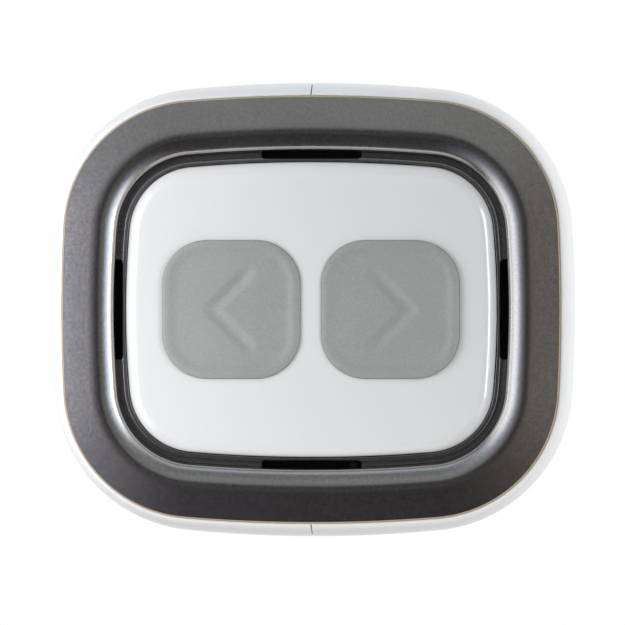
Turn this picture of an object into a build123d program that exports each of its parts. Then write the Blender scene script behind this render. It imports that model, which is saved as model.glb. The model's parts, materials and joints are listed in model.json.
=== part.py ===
from build123d import *
import math
import os

os.makedirs("parts", exist_ok=True)

# Smart radiator thermostat. Millimetres. Origin: centre of the union nut's
# mouth. +Y runs out of the nut towards the valve, the front with the two keys
# faces -Y, +X is the right-hand side seen from the front, +Z is up.

# ---------------------------------------------------------------- outlines
# An outline is a rounded rectangle with gently bulging sides:
# (half width, half height, top arc radius, side arc radius, corner radius)
BODY = (30.0, 26.05, 147.0, 146.0, 16.9)  # fullest section of the casing
BEZEL = (28.2, 24.15, 173.0, 193.0, 14.85)  # outer edge of the metal bezel
WINDOW = (21.1, 16.79, 167.0, 103.5, 7.65)  # opening of the bezel
PANEL = (21.0, 16.69, 166.9, 103.4, 7.55)  # white panel in that opening
NECK = (20.5, 20.5, 20.9, 20.9, 19.9)  # casing at the rear, nearly round
NECK_IN = (18.7, 18.7, 19.1, 19.1, 18.1)
EDGE_GAP = 0.06  # bezel to casing
BEZEL_WIDTH = 7.4  # bezel, outer edge to opening

# ------------------------------------------------------- stations along Y
Y_CREST = -97.0  # foremost ring of the bezel
Y_BEZEL_BACK = -92.0
Y_CASE_FRONT = -95.6
Y_FULL = -85.0  # casing reaches its fullest section
Y_TAPER = -34.0  # rear taper starts
Y_NECK = -17.0  # rear face of the casing
Y_PCB = -88.8  # front face of the key board

# ------------------------------------------------------------------- keys
KEY = 15.6  # square finger key
KEY_R = 5.0
KEY_X = 9.0
KEY_TRAVEL = 0.5
KEY_GAP = 0.06

# -------------------------------------------------------------- valve end
THREAD_R = 14.19  # M30 x 1.5 female thread, minor radius
THREAD_LEN = 9.0
NUT_R = 18.0
NUT_LEN = 16.0
GLAND_R = 11.4
SEAT_Y = -9.5
SPIGOT_R = 12.9
STROKE = 4.5
TIP_Y = -25.8  # plunger tip drawn fully in

# -------------------------------------------------------------- gear train
# (teeth, module)
MOTOR_PINION = (12, 0.40)
WHEEL_1, PINION_1 = (36, 0.40), (12, 0.40)
WHEEL_2, PINION_2 = (40, 0.40), (12, 0.45)
WHEEL_3, PINION_3 = (36, 0.45), (12, 0.50)
DRIVE = (40, 0.50)
PRESSURE = 25.0
THIN = 0.08  # taken off each tooth for backlash
PIN_R = 0.75
BORE_R = 0.80

# ------------------------------------------------------------------- cells
CELL_R = 7.25
CELL_X = 7.6
CELL_Z = -16.6
CELL_Y0, CELL_Y1 = -84.2, -33.7


# ================================================================ helpers
def grow(p, t):
    """The parallel outline, t outside p."""
    return tuple(v + t for v in p)


def between(p, q, f):
    return tuple(a + (b - a) * f for a, b in zip(p, q))


def corner_centre(p):
    a, b, rt, rl, rc = p
    x0, y0 = 0.0, b - rt
    x1, y1 = a - rl, 0.0
    r0, r1 = rt - rc, rl - rc
    d = math.hypot(x1 - x0, y1 - y0)
    k = (r0 * r0 - r1 * r1 + d * d) / (2 * d)
    h = math.sqrt(max(0.0, r0 * r0 - k * k))
    xm, ym = x0 + k * (x1 - x0) / d, y0 + k * (y1 - y0) / d
    c1 = (xm + h * (y1 - y0) / d, ym - h * (x1 - x0) / d)
    c2 = (xm - h * (y1 - y0) / d, ym + h * (x1 - x0) / d)
    return c1 if sum(c1) > sum(c2) else c2


def outline(p, y):
    """The outline as a closed wire of eight arcs in the plane at height y."""
    a, b, rt, rl, rc = p
    cx, cz = corner_centre(p)
    dt = math.hypot(cx, cz - (b - rt))
    tx, tz = cx / dt * rt, (b - rt) + (cz - (b - rt)) / dt * rt
    ds = math.hypot(cx - (a - rl), cz)
    sx, sz = (a - rl) + (cx - (a - rl)) / ds * rl, cz / ds * rl
    mx, mz = (tx - cx) + (sx - cx), (tz - cz) + (sz - cz)
    dm = math.hypot(mx, mz)
    mx, mz = cx + mx / dm * rc, cz + mz / dm * rc

    def v(x, z):
        return Vector(x, y, z)

    arc = Edge.make_three_point_arc
    return Wire(
        [
            arc(v(-tx, tz), v(0, b), v(tx, tz)),
            arc(v(tx, tz), v(mx, mz), v(sx, sz)),
            arc(v(sx, sz), v(a, 0), v(sx, -sz)),
            arc(v(sx, -sz), v(mx, -mz), v(tx, -tz)),
            arc(v(tx, -tz), v(0, -b), v(-tx, -tz)),
            arc(v(-tx, -tz), v(-mx, -mz), v(-sx, -sz)),
            arc(v(-sx, -sz), v(-a, 0), v(-sx, sz)),
            arc(v(-sx, sz), v(-mx, mz), v(-tx, tz)),
        ]
    )


def slab(p, y0, y1):
    return extrude(Face(outline(p, y0)), amount=y1 - y0, dir=(0, 1, 0))


def skin(sections, ruled=True):
    return loft([Face(outline(p, y)) for p, y in sections], ruled=ruled)


def cyl(r, y0, y1, x=0.0, z=0.0):
    return Pos(x, (y0 + y1) / 2, z) * Rot(90, 0, 0) * Cylinder(r, abs(y1 - y0))


def xcyl(r, x0, x1, y, z):
    return Pos((x0 + x1) / 2, y, z) * Rot(0, 90, 0) * Cylinder(r, abs(x1 - x0))


def box(x0, x1, y0, y1, z0, z1):
    return Pos((x0 + x1) / 2, (y0 + y1) / 2, (z0 + z1) / 2) * Box(
        abs(x1 - x0), abs(y1 - y0), abs(z1 - z0)
    )


def plate(w, h, r, y0, y1, x=0.0, z=0.0):
    """A rounded rectangle, w wide and h high, from y0 to y1."""
    s = Plane.XZ * RectangleRounded(w, h, r)
    return Pos(x, y0, z) * extrude(s, amount=y1 - y0, dir=(0, 1, 0))


def flat(w, l, r, z0, z1, x=0.0, y=0.0):
    """A rounded rectangle lying down, w along X and l along Y."""
    return Pos(x, y, z0) * extrude(RectangleRounded(w, l, r), amount=z1 - z0)


def hexagon(af, y0, y1):
    s = Plane.XZ * RegularPolygon(af / math.sqrt(3), 6)
    return Pos(0, y0, 0) * extrude(s, amount=y1 - y0, dir=(0, 1, 0))


def turned(points):
    """A turned solid from (radius, y) points, about the Y axis."""
    s = make_face(Polyline([(r, y, 0) for r, y in points], close=True))
    return revolve(s, axis=Axis.Y)


def one(shape):
    """The single largest solid, for a feature that must stay in one piece."""
    s = sorted(shape.solids(), key=lambda k: k.volume)
    return s[-1]


def save(name, *shapes):
    solids = [s for shape in shapes for s in shape.solids()]
    for s in solids:
        assert s.is_valid and s.volume > 0, name
    export_step(solids[0] if len(solids) == 1 else Compound(solids), f"parts/{name}.step")
    print(name, len(solids), round(sum(s.volume for s in solids), 2))


# ================================================================ casing
CAVITY = grow(BEZEL, EDGE_GAP)
CASE_EDGE = grow(BEZEL, EDGE_GAP + 0.20)


def flare(y):
    """Casing section in the front flare: a quarter of an ellipse."""
    k = 0.965
    u = (Y_FULL - y) / (Y_FULL - Y_CASE_FRONT) * k
    g = (1 - math.sqrt(1 - u * u)) / (1 - math.sqrt(1 - k * k))
    return between(BODY, CASE_EDGE, g)


def taper(y, big, small):
    u = (y - Y_TAPER) / (Y_NECK - Y_TAPER)
    return between(small, big, math.cos(u * math.pi / 2))


front_y = [-95.6, -95.35, -95.0, -94.5, -93.8, -92.9, -91.8, -90.4, -88.8, -87.0, -85.0]
rear_y = [Y_TAPER + (Y_NECK - Y_TAPER) * i / 12 for i in range(13)]
case_outer = (
    skin([(flare(y), y) for y in front_y])
    + slab(BODY, Y_FULL, Y_TAPER)
    + skin([(taper(y, BODY, NECK), y) for y in rear_y])
)
rear_in = [Y_TAPER + (-19.0 - Y_TAPER) * i / 8 for i in range(9)]
case_inner = slab(CAVITY, -96.5, Y_TAPER) + skin(
    [(taper(y, CAVITY, NECK_IN), y) for y in rear_in]
)
shell = case_outer - case_inner - cyl(18.5, -19.6, -16.5)

# display window in the top, battery opening in the underside
WIN_X, WIN_Y0, WIN_Y1 = 15.0, -79.0, -57.0
DOOR_X, DOOR_Y0, DOOR_Y1 = 15.6, -85.4, -33.0
win_y, win_l = (WIN_Y0 + WIN_Y1) / 2, WIN_Y1 - WIN_Y0
door_y, door_l = (DOOR_Y0 + DOOR_Y1) / 2, DOOR_Y1 - DOOR_Y0
wall = shell
shell = shell - flat(2 * WIN_X, win_l, 2.0, 20, 30, 0, win_y)
shell = shell - flat(2 * DOOR_X, door_l, 1.5, -30, -20, 0, door_y)

# rails that carry the main board, screw bosses, keys for the valve adapter
rails = box(-30, 30, -86.0, -46.0, 14.7, 15.95) - box(-22, 22, -90, -40, 10, 20)
BOSS = [(-75.0, -3.0), (-52.0, -3.0)]
bosses = [xcyl(3.0, -29, 29, y, z) for y, z in BOSS]
lugs = box(-20.2, 20.2, -21.2, -19.0, -1.9, 1.9) - box(-17.6, 17.6, -22, -18, -3, 3)
inner = (rails + bosses + lugs) & case_inner
pockets = [box(s * 27, s * 29.05, -89.7, -88.1, -4.2, 4.2) for s in (-1, 1)]
shell = shell + inner - pockets
for y, z in BOSS:
    shell -= xcyl(1.9, -35, -9, y, z)
    shell -= xcyl(1.1, -9, 0, y, z)
    shell -= xcyl(0.9, 0, 10, y, z)
save("housing_left", one(shell & box(-40, 0, -110, 0, -40, 40)))
save("housing_right", one(shell & box(0, 40, -110, 0, -40, 40)))

save(
    "display_window",
    one(wall & flat(2 * WIN_X - 0.1, win_l - 0.1, 1.95, 20, 30, 0, win_y)),
)

door = one(wall & flat(2 * DOOR_X - 0.4, door_l - 0.4, 1.3, -30, -20, 0, door_y))
tabs = [
    box(s * 14.2, s * 15.3, y, y + 6, -24.6, -21.0)
    for s in (-1, 1)
    for y in (-76.0, -51.0)
]
door = one((door + tabs) & case_outer)
door -= [xcyl(1.2, -6, 6, y, -26.8) for y in (-44.8, -42.4, -40.0)]
save("battery_cover", one(door))

save(
    "housing_screws",
    *[
        xcyl(1.75, -10.4, -9.0, y, z) + xcyl(0.88, -9.0, 8.5, y, z)
        - box(-11, -9.8, y - 1.3, y + 1.3, z - 0.2, z + 0.2)
        - box(-11, -9.8, y - 0.2, y + 0.2, z - 1.3, z + 1.3)
        for y, z in BOSS
    ],
)


# ============================================================ front group
def ring(n):
    """Outline n inside the bezel's outer edge."""
    return between(BEZEL, WINDOW, n / BEZEL_WIDTH)


LIP = 6.91  # inner lip starts this far inside the bezel's outer edge
brow = [
    (0.0, Y_BEZEL_BACK),
    (0.0, -96.22),
    (0.15, -96.42),
    (1.6, -96.67),
    (3.1, -96.92),
    (3.5, -96.975),
    (4.0, Y_CREST),
]
throat = [
    (4.05, Y_CREST),
    (4.6, -96.93),
    (5.0, -96.82),
    (5.4, -96.67),
    (5.7, -96.52),
    (5.95, -96.30),
    (6.1, -95.83),
    (6.15, -95.1),
    (6.16, -93.80),
]
bezel = skin([(ring(n), y) for n, y in brow]) - skin([(ring(n), y) for n, y in throat])
bezel += slab(ring(LIP), -95.2, -93.7) - slab(WINDOW, -95.3, -93.6)
bezel -= slab(WINDOW, -94.0, -91.9)
bezel -= slab(ring(LIP + 0.04), -98, -95.2)
SLOT_L, SLOT_W = 11.4, 0.98
SLOT_Z, SLOT_X = 17.55, 21.84  # middle of the slots in the channel floor
for s in (-1, 1):
    bezel -= plate(SLOT_L, SLOT_W, 0.45, -95.3, -91.9, 0, s * SLOT_Z)
    bezel -= plate(SLOT_W, SLOT_L, 0.45, -95.3, -91.9, s * SLOT_X)
FRONT_SCREWS = [(sx * 22.4, sz * 17.0) for sx in (-1, 1) for sz in (-1, 1)]
for x, z in FRONT_SCREWS:
    bezel -= cyl(0.75, -95.0, -91.9, x, z)
save("front_bezel", one(bezel))

# white panel: slightly domed plate on a skirt, held behind the bezel
DOME_R = 380.0
PANEL_ROLL = 1.1
panel = slab(PANEL, -97.2, -90.8) & (
    Pos(0, -96.62 + DOME_R, 0) * Sphere(DOME_R)
)
panel = fillet(panel.faces().sort_by(Axis.Y)[0].edges(), PANEL_ROLL)
panel -= slab(grow(PANEL, -1.4), -94.5, -90.0)
flange = slab(ring(5.6), -92.0, -90.8) - slab(grow(PANEL, -1.4), -92.5, -90.5)
flange -= [
    box(-8, 8, -92.5, -90.7, -30, 30) - slab(PANEL, -93, -90),
    box(-30, 30, -92.5, -90.7, -8, 8) - slab(PANEL, -93, -90),
]
panel += flange
hole = KEY + 2 * KEY_GAP
for s in (-1, 1):
    panel -= plate(hole, hole, KEY_R + KEY_GAP, -98, -94, s * KEY_X)
save("front_panel", one(panel))


def key(x, direction):
    """A finger key with a soft raised rim, a dished face and a chevron."""
    k = plate(KEY, KEY, KEY_R, -97.0, -94.5, x)
    k = fillet(k.faces().sort_by(Axis.Y)[0].edges(), 0.22)
    k -= plate(KEY - 2.3, KEY - 2.3, KEY_R - 1.15, -97.2, -96.70, x)
    k += plate(17.4, 17.4, 5.6, -94.5, -93.3, x)
    # chevron: two arms at 45 degrees, vertex outward
    w = 1.5
    arm = 6.5
    vx = x + direction * 2.2
    for s in (-1, 1):
        a = Rot(0, -s * direction * 45, 0) * box(
            -w / 2, w / 2, -97.5, -96.36, 0, s * arm - s * w / 2
        )
        a += Rot(0, -s * direction * 45, 0) * cyl(
            w / 2, -97.5, -96.36, 0, s * (arm - w / 2)
        )
        k -= Pos(vx - direction * 0.0, 0, 0) * a
    k -= cyl(w / 2, -97.5, -96.36, vx)
    return one(k)


save("button_left", key(-KEY_X, -1))
save("button_right", key(KEY_X, 1))

# key board with its switches and the room sensor
board = slab(ring(4.3), Y_PCB, Y_PCB + 1.0)
for x, z in [(sx * 19.0, sz * 8.0) for sx in (-1, 1) for sz in (-1, 1)]:
    board -= cyl(0.9, -89, -87.5, x, z)
save("button_pcb", one(board))
switches = []
for s in (-1, 1):
    b = box(s * KEY_X - 3, s * KEY_X + 3, -92.0, Y_PCB, -3, 3)
    b += box(s * KEY_X - 2.7, s * KEY_X + 2.7, -92.3, -92.0, -2.7, 2.7)
    b -= cyl(1.95, -92.4, -90.6, s * KEY_X)
    switches.append(b)
save("tact_switches", *switches)
save("switch_stem_left", cyl(1.75, -93.3, -91.3, -KEY_X))
save("switch_stem_right", cyl(1.75, -93.3, -91.3, KEY_X))
bead = Pos(5.0, -90.9, -17.75) * Sphere(0.9)
legs = [cyl(0.2, -90.6, Y_PCB, 5.0 + d, -17.75) for d in (-0.5, 0.5)]
save("room_sensor", one(bead + legs))

# carrier that joins bezel, panel and key board and snaps into the casing
carrier = slab(ring(0.35), -91.95, -86.8) - slab(ring(4.2), -92.5, -86.0)
carrier += slab(ring(4.3), Y_PCB + 1.0, -86.8) - slab(ring(6.6), -90, -86)
carrier += [box(s * 27.6, s * 28.95, -89.6, -88.2, -4.0, 4.0) for s in (-1, 1)]
for x, z in FRONT_SCREWS:
    carrier -= cyl(0.9, -92.5, -86, x, z)
    carrier -= cyl(1.6, -90.2, -86, x, z)
carrier -= box(-14, 14, -87.9, -86.0, 14.0, 19.6)
save("front_carrier", one(carrier))
save(
    "front_screws",
    *[
        cyl(0.72, -94.8, -90.2, x, z) + cyl(1.5, -90.2, -89.0, x, z)
        - box(x - 1.1, x + 1.1, -89.6, -88.9, z - 0.2, z + 0.2)
        - box(x - 0.2, x + 0.2, -89.6, -88.9, z - 1.1, z + 1.1)
        for x, z in FRONT_SCREWS
    ],
)

# ============================================================ electronics
PCB_Z = 16.0
main = flat(45.0, 40.2, 2.0, PCB_Z, PCB_Z + 1.2, 0, -66.1)
for sx in (-1, 1):
    main -= flat(2.4, 2.4, 1.1, 15, 18, sx * 20.2, -49.0)
save("main_pcb", one(main))
conn = box(-6.0, 6.0, -87.8, -83.6, 12.6, PCB_Z) - box(-5.2, 5.2, -86.9, -83.0, 13.4, 15.3)
save("board_connector", one(conn))
shield = box(-21.0, -6.0, -84.5, -69.5, 13.6, PCB_Z) - box(
    -20.7, -6.3, -84.2, -69.8, 13.9, PCB_Z + 1
)
save("radio_shield", one(shield))
save(
    "pcb_chips",
    box(-3.5, 3.5, -80.0, -73.0, 15.0, PCB_Z),
    box(12.0, 17.0, -62.0, -58.0, 14.6, PCB_Z),
    box(-17.0, -13.0, -60.0, -56.5, 14.9, PCB_Z),
)
can = cyl(3.15, -78.5, -69.8, 15.0, 12.7)
can += cyl(2.9, -69.8, -69.4, 15.0, 12.7)
save("capacitor_can", one(can))
strip = box(-19.6, -19.2, -80.0, -50.0, PCB_Z + 1.2, 20.6)
strip += box(-21.0, -19.2, -80.0, -50.0, 20.2, 20.6)
strip -= box(-20, -19.0, -79.0, -76.0, 18.4, 19.9)
save("antenna_strip", one(strip))

holder = flat(35.0, 26.0, 1.5, PCB_Z + 1.2, 22.2, 0, -68.0)
holder -= flat(32.0, 23.2, 0.8, 16, 21.3, 0, -68.0)
holder -= flat(29.6, 21.0, 0.6, 21, 23, 0, -68.0)
save("display_holder", one(holder))
save("display_backlight", flat(31.8, 23.0, 0.8, PCB_Z + 1.3, 19.2, 0, -68.0))
save("display_glass", flat(31.8, 23.0, 0.8, 19.3, 21.2, 0, -68.0))

# ================================================================ battery
tray = box(-16.8, 16.8, -86.7, -31.0, -23.0, -8.1)
tray -= box(-15.5, 15.5, -85.7, -32.2, -24.0, -9.3)
tray += box(-1.2, 1.2, -85.2, -32.7, -12.4, -9.2)
tray -= cyl(11.0, -34.6, -30.0)
for s in (-1, 1):
    tray -= box(s * 8.8, s * 12.2, -32.6, -32.1, -10, -8)
save("battery_tray", one(tray))


def cell(x, plus_front):
    shoulder = 1.0
    if plus_front:
        c = cyl(CELL_R, CELL_Y0 + shoulder, CELL_Y1, x, CELL_Z)
        c += cyl(2.7, CELL_Y0, CELL_Y0 + shoulder, x, CELL_Z)
    else:
        c = cyl(CELL_R, CELL_Y0, CELL_Y1 - shoulder, x, CELL_Z)
        c += cyl(2.7, CELL_Y1 - shoulder, CELL_Y1, x, CELL_Z)
    return one(c)


save("battery_left", cell(-CELL_X, True))
save("battery_right", cell(CELL_X, False))
bridge = box(-12.4, 12.4, -85.7, -85.4, -21.5, -11.7)
bridge += cyl(2.5, -85.4, CELL_Y0, -CELL_X, CELL_Z)
save("contact_bridge", one(bridge))
tails = []
for s in (-1, 1):
    t = box(s * 3.0, s * 12.2, -32.5, -32.2, -21.0, -12.2)
    t += box(s * 9.0, s * 12.0, -32.5, -32.2, -12.4, -6.9)
    if s > 0:
        t += cyl(2.5, CELL_Y1, -32.5, CELL_X, CELL_Z)
    tails.append(one(t))
save("contact_plates", *tails)


def spring(x, y, sign):
    """A flat conical contact spring of two turns, wide end on the plate."""
    wire, turns, r0, r1, h = 0.3, 2.0, 3.7, 2.1, 0.58
    pts = []
    for i in range(33):
        f = i / 32
        a = 2 * math.pi * turns * f
        r = r0 + (r1 - r0) * f
        pts.append((x + r * math.cos(a), y + sign * h * f, CELL_Z + r * math.sin(a)))
    path = Spline(*pts)
    end = Plane(origin=path @ 0, z_dir=path % 0)
    return one(sweep(end * Circle(wire), path=path))


save(
    "contact_springs",
    spring(CELL_X, -85.4 + 0.31, 1),
    spring(-CELL_X, -32.5 - 0.31, -1),
)


def lead(r, *pts, bend=1.6):
    path = FilletPolyline(*pts, radius=bend)
    end = Plane(origin=path @ 0, z_dir=path % 0)
    return one(sweep(end * Circle(r), path=path))


save(
    "battery_leads",
    *[
        lead(0.45, (s * 10.5, -32.5, -7.45), (s * 10.5, -68, -7.45), (s * 10.5, -68, PCB_Z))
        for s in (-1, 1)
    ],
)


# ============================================================== valve end
adapter = turned(
    [
        (0, -28.5),
        (18.5, -28.5),
        (18.5, -25.5),
        (14.9, -25.5),
        (14.9, -21.0),
        (19.3, -21.0),
        (19.3, -19.02),
        (18.4, -19.02),
        (18.4, -17.3),
        (SPIGOT_R, -17.3),
        (SPIGOT_R, -11.0),
        (12.1, -11.0),
        (12.1, -9.9),
        (SPIGOT_R, -9.9),
        (SPIGOT_R, SEAT_Y),
        (GLAND_R, SEAT_Y),
        (GLAND_R, -25.5),
        (0, -25.5),
    ]
)
adapter -= hexagon(8.2, -29, -25)
ADAPTER_SCREWS = [(-15.2, -3.5), (15.2, -3.5)]
FRAME_SCREWS = [(-19.3, 15.5), (19.0, 16.0)]
for x, z in ADAPTER_SCREWS:
    adapter -= cyl(0.9, -29, -26.6, x, z)
for s in (-1, 1):
    adapter -= box(s * 17.4, s * 20, -21.2, -18.9, -2.0, 2.0)
save("valve_adapter", one(adapter))

nut = turned(
    [
        (THREAD_R, 0),
        (17.4, 0),
        (NUT_R, -0.7),
        (NUT_R, -NUT_LEN + 0.7),
        (17.4, -NUT_LEN),
        (16.0, -NUT_LEN),
        (16.0, -13.2),
        (SPIGOT_R + 0.08, -13.2),
        (SPIGOT_R + 0.08, -11.15),
        (14.8, -11.15),
        (14.8, -THREAD_LEN),
        (THREAD_R, -THREAD_LEN),
    ]
)
for i in range(24):
    a = 2 * math.pi * (i + 0.5) / 24
    nut -= cyl(1.0, -17, 1, 18.45 * math.cos(a), 18.45 * math.sin(a))
save("union_nut", one(nut))

clip = cyl(14.0, -10.95, -9.95) - cyl(12.12, -11.5, -9.5)
clip -= box(-1.8, 1.8, -12, -9, -16, 0)
save("nut_snap_ring", one(clip))

plunger = hexagon(8.0, -31.7, TIP_Y) + cyl(3.0, -40.5, -31.7)
plunger = chamfer(plunger.faces().sort_by(Axis.Y)[-1].edges(), 0.4)
save("plunger", one(plunger))


# ============================================================= gear train
def gear_points(z, m, phase, cx, cz, y):
    """Corner points of a spur gear with involute teeth, one tooth at phase."""
    pa = math.radians(PRESSURE)
    rp = m * z / 2
    rb, ra, rf = rp * math.cos(pa), rp + 0.95 * m, rp - 1.2 * m
    half = (math.pi * m / 2 - THIN) / 2 / rp
    inv = math.tan(pa) - pa

    def lean(r):
        if r <= rb:
            return half + inv
        b = math.acos(rb / r)
        return half + inv - (math.tan(b) - b)

    low = max(rf, rb)
    radii = [low + (ra - low) * f for f in (0, 0.25, 0.5, 0.75, 1.0)]
    if rf < rb:
        radii = [rf] + radii
    pts = []
    for i in range(z):
        t = phase + 2 * math.pi * i / z
        for r in radii:
            pts.append((r, t - lean(r)))
        for r in reversed(radii):
            pts.append((r, t + lean(r)))
    return [Vector(cx + r * math.cos(t), y, cz + r * math.sin(t)) for r, t in pts]


def gear(size, phase, at, y0, y1):
    wire = Wire.make_polygon(gear_points(*size, phase, at[0], at[1], y0), close=True)
    return extrude(Face(wire), amount=y1 - y0, dir=(0, 1, 0))


def reach(a, b):
    return (a[0] * a[1] + b[0] * b[1]) / 2


def beside(at, distance, degrees):
    t = math.radians(degrees)
    return (at[0] + distance * math.cos(t), at[1] + distance * math.sin(t))


def mesh_phase(za, phase_a, at_a, zb, at_b):
    """Phase of gear b so that a tooth of a stands in a gap of b."""
    t = math.atan2(at_b[1] - at_a[1], at_b[0] - at_a[0])
    pa = (t - phase_a) * za / (2 * math.pi)
    return t + math.pi - (0.5 - pa) * 2 * math.pi / zb


AXIS = (0.0, 0.0)
G3 = beside(AXIS, reach(DRIVE, PINION_3), 45)
G2 = beside(G3, reach(WHEEL_3, PINION_2), 158)
G1 = beside(G2, reach(WHEEL_2, PINION_1), 205)
MOTOR = beside(G1, reach(WHEEL_1, MOTOR_PINION), -4)
print("axes", G3, G2, G1, MOTOR)

p_motor = 0.0
w1 = mesh_phase(12, p_motor, MOTOR, 36, G1)
p1 = 0.0
w2 = mesh_phase(12, p1, G1, 40, G2)
p2 = 0.0
w3 = mesh_phase(12, p2, G2, 36, G3)
p3 = 0.0
wd = mesh_phase(12, p3, G3, 40, AXIS)


def bore(at, r=BORE_R):
    return cyl(r, -60, -20, *at)


stage_1 = gear(WHEEL_1, w1, G1, -41.3, -39.3) + gear(PINION_1, p1, G1, -39.3, -37.0)
stage_1 += cyl(1.5, -37.0, -30.7, *G1)
stage_1 -= cyl(5.6, -41.4, -40.7, *G1) - cyl(2.4, -42, -40, *G1)
stage_1 -= bore(G1)
save("gear_stage_1", one(stage_1))

stage_2 = gear(WHEEL_2, w2, G2, -39.0, -37.0) + gear(PINION_2, p2, G2, -37.0, -34.5)
stage_2 += cyl(1.5, -34.5, -30.7, *G2) + cyl(1.5, -41.4, -39.0, *G2)
stage_2 -= cyl(6.4, -39.1, -38.4, *G2) - cyl(2.4, -42, -36, *G2)
stage_2 -= bore(G2)
save("gear_stage_2", one(stage_2))

stage_3 = gear(WHEEL_3, w3, G3, -36.7, -34.5) + gear(PINION_3, p3, G3, -34.5, -30.9)
stage_3 += cyl(1.5, -41.4, -36.7, *G3)
stage_3 -= cyl(6.4, -36.8, -36.0, *G3) - cyl(2.4, -40, -34, *G3)
stage_3 -= bore(G3)
save("gear_stage_3", one(stage_3))

drive = gear(DRIVE, wd, AXIS, -34.2, -30.9)
drive += cyl(4.0, -36.5, -34.2) + cyl(6.2, -30.9, -28.9)
drive -= cyl(8.2, -34.3, -33.2) - cyl(4.6, -35, -33)
drive -= cyl(3.06, -37, -31.9) + cyl(4.95, -31.9, -28.0)
save("drive_gear", one(drive))
save("thrust_washer", one(cyl(4.0, -36.82, -36.52) - cyl(3.3, -37, -36)))

save("gear_pins", *[cyl(PIN_R, -42.6, -29.5, *g) for g in (G1, G2, G3)])

cover_line = grow(CAVITY, -0.6)
cover = slab(cover_line, -43.6, -41.6) & box(-40, 40, -50, -40, -6.6, 40)
cover += cyl(4.0, -41.7, -36.84)
for x, z in ADAPTER_SCREWS + FRAME_SCREWS:
    cover += cyl(2.0, -41.7, -30.5, x, z)
for s in (-1, 1):
    x = MOTOR[0] + s * 7.8
    cover += box(x, x + s * 1.5, -58.0, -43.5, MOTOR[1] - 4, MOTOR[1] + 4)
cover -= cyl(3.3, -42.6, -36.0)
cover -= cyl(3.1, -44, -41, *MOTOR)
for x, z in ADAPTER_SCREWS + FRAME_SCREWS:
    cover -= cyl(1.1, -44, -30, x, z)
for g in (G1, G2, G3):
    cover -= cyl(PIN_R + 0.01, -42.7, -41, *g)
save("gearbox_cover", one(cover))

frame = slab(grow(CAVITY, -2.6), -30.5, -28.5) & box(-40, 40, -35, -25, -8.0, 40)
for x, z in FRAME_SCREWS:
    frame += cyl(2.0, -28.6, -26.7, x, z)
frame -= cyl(6.28, -31, -28)
for x, z in ADAPTER_SCREWS:
    frame -= cyl(1.1, -31, -28, x, z)
for x, z in FRAME_SCREWS:
    frame -= cyl(0.9, -31, -26.8, x, z)
for g in (G1, G2, G3):
    frame -= cyl(PIN_R + 0.01, -31, -29.4, *g)
save("gearbox_frame", one(frame))

save(
    "gearbox_screws",
    *[
        cyl(0.88, -43.6, -26.9, x, z) + cyl(1.75, -45.0, -43.6, x, z)
        - box(x - 1.3, x + 1.3, -45.1, -44.2, z - 0.2, z + 0.2)
        - box(x - 0.2, x + 0.2, -45.1, -44.2, z - 1.3, z + 1.3)
        for x, z in ADAPTER_SCREWS + FRAME_SCREWS
    ],
)

# ================================================================== motor
mx, mz = MOTOR


def barrel(r, h, y0, y1):
    """A cylinder about the motor axis with flats h above and below."""
    return cyl(r, y0, y1, mx, mz) & box(mx - 20, mx + 20, y0, y1, mz - h, mz + h)


can = barrel(7.75, 6.0, -63.6, -43.6) - barrel(7.05, 5.3, -63.7, -44.6)
can += cyl(3.0, -43.7, -42.2, mx, mz)
can -= cyl(1.06, -50, -40, mx, mz)
save("motor_can", one(can))
cap = barrel(7.75, 6.0, -65.2, -63.6) + barrel(7.0, 5.25, -63.7, -62.6)
cap -= cyl(1.06, -64.7, -62, mx, mz)
for s in (-1, 1):
    cap -= box(mx + s * 3 - 0.85, mx + s * 3 + 0.85, -66, -62, mz - 0.2, mz + 0.2)
save("motor_endcap", one(cap))
save(
    "motor_terminals",
    *[
        box(mx + s * 3 - 0.8, mx + s * 3 + 0.8, -67.0, -62.6, mz - 0.15, mz + 0.15)
        for s in (-1, 1)
    ],
)
magnet = cyl(7.0, -61.0, -47.0, mx, mz) - cyl(5.5, -62, -46, mx, mz)
save(
    "motor_magnets",
    *[
        one(magnet & box(mx + s * 3.8, mx + s * 8, -62, -46, mz - 4.6, mz + 4.6))
        for s in (-1, 1)
    ],
)
arm = cyl(5.0, -59.5, -48.5, mx, mz) + cyl(2.0, -62.2, -59.4, mx, mz)
for i in range(3):
    t = math.radians(90 + 120 * i)
    arm -= (
        Pos(mx, 0, mz)
        * Rot(0, 120 * i, 0)
        * (box(-0.5, 0.5, -60, -48, 2.2, 6) + box(-1.7, 1.7, -60, -48, 2.4, 4.2))
    )
arm -= cyl(1.0, -70, -40, mx, mz)
save("motor_armature", one(arm))
save("motor_shaft", cyl(1.0, -64.6, -38.9, mx, mz))
save("motor_pinion", one(gear(MOTOR_PINION, p_motor, MOTOR, -41.3, -39.3) - bore(MOTOR, 1.0)))
save(
    "motor_leads",
    *[
        lead(
            0.4,
            (mx + s * 3, -67.0, mz),
            (mx + s * 3, -69.0, mz),
            (mx + s * 3, -69.0, PCB_Z),
            bend=1.2,
        )
        for s in (-1, 1)
    ],
)
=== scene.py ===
import json
import math

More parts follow.
